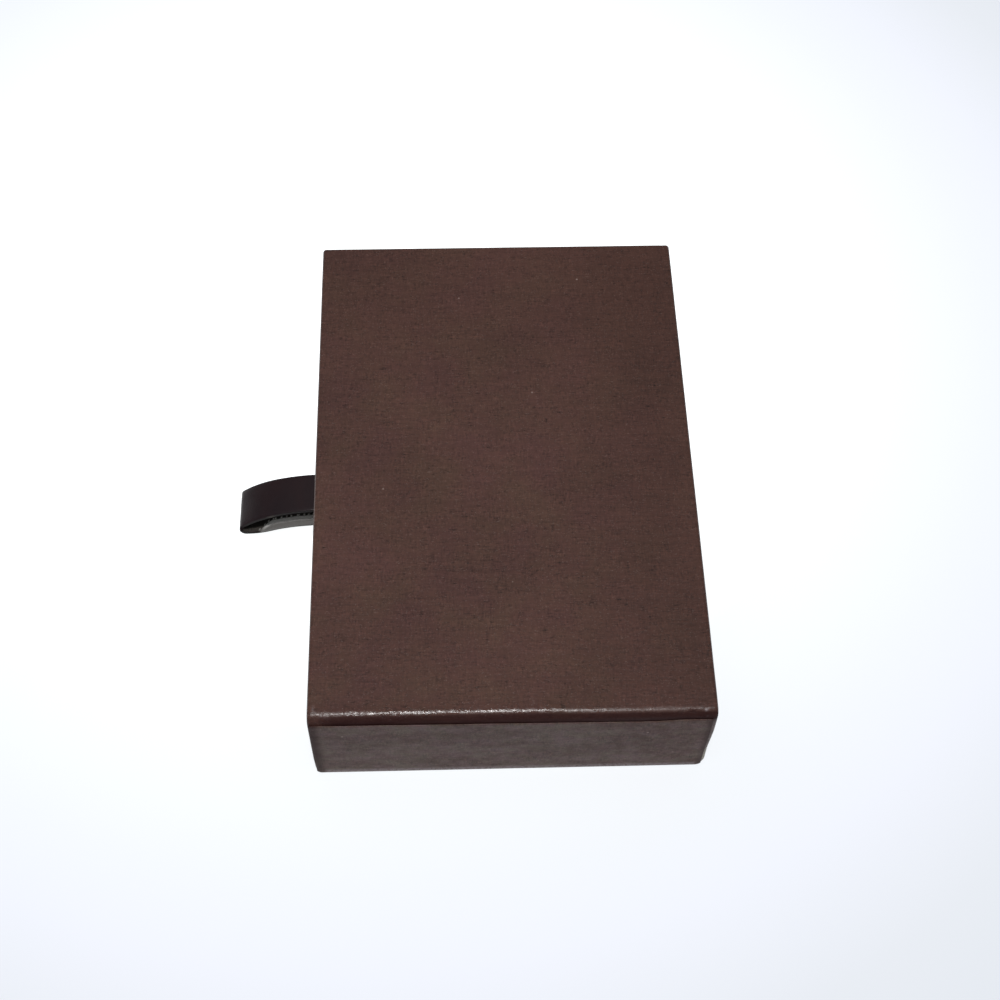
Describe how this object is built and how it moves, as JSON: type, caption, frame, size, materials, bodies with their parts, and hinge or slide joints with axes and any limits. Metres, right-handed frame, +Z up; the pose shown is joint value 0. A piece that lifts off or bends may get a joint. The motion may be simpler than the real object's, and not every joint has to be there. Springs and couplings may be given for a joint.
{
  "type": "sliding drawer gift box",
  "caption": "Flat rigid gift box: a paper-covered sleeve, open on a long side, holds a lined tray drawer that slides out by a folded strap loop.",
  "frame": {"origin": "middle of the sleeve's underside, on the surface that the box stands on", "axes": "+Z up; +Y along the sleeve's long side, towards its left end as seen from the mouth; +X from the mouth towards the closed back, so the drawer slides out along -X"},
  "size_m": [0.11, 0.135, 0.0265],
  "materials": {
    "covering_paper": "dark brown covering paper embossed with a fine linen weave, soft sheen, rubbed smoother on the folded edges",
    "greyboard": "uncoated grey chipboard, speckled with fibres",
    "stay_paper": "plain kraft paper tape",
    "sleeve_lining_paper": "plain uncoated dark brown paper",
    "lining_paper": "uncoated sand-coloured lining paper",
    "liner_card": "flocked sand-coloured card",
    "base_paper": "plain matt dark brown paper",
    "strap_leather": "smooth satin black-brown leather with a grey fibrous flesh side"
  },
  "bodies": {
    "sleeve": {"sleeve_top_board": "greyboard", "sleeve_bottom_board": "greyboard", "sleeve_back_board": "greyboard", "sleeve_right_end_board": "greyboard", "sleeve_left_end_board": "greyboard", "sleeve_corner_stays": "stay_paper", "sleeve_covering": "covering_paper", "sleeve_lining": "sleeve_lining_paper", "sleeve_base_sheet": "base_paper", "sleeve_right_end_strip": "covering_paper", "sleeve_left_end_strip": "covering_paper"},
    "drawer": {"drawer_front_board": "greyboard", "drawer_back_board": "greyboard", "drawer_right_side_board": "greyboard", "drawer_left_side_board": "greyboard", "drawer_floor_board": "greyboard", "drawer_corner_stays": "stay_paper", "drawer_covering": "covering_paper", "drawer_base_sheet": "base_paper", "drawer_floor_liner": "liner_card", "drawer_wall_lining": "lining_paper", "drawer_front_liner": "liner_card", "pull_strap_upper_tail": "strap_leather", "pull_strap_lower_tail": "strap_leather", "pull_strap_anchor_patch": "stay_paper"},
    "pull_loop": {"pull_strap_loop": "strap_leather"}
  },
  "joints": [
    {"name": "drawer_slide", "type": "slide", "parent": "sleeve", "child": "drawer", "axis": [-1, 0, 0], "range_m": [0, 0.09]},
    {"name": "pull_loop_flex", "type": "slide", "parent": "drawer", "child": "pull_loop", "axis": [0, 0, 1], "range_m": [-0.003, 0.005], "stiffness_N_per_m": 20}
  ]
}
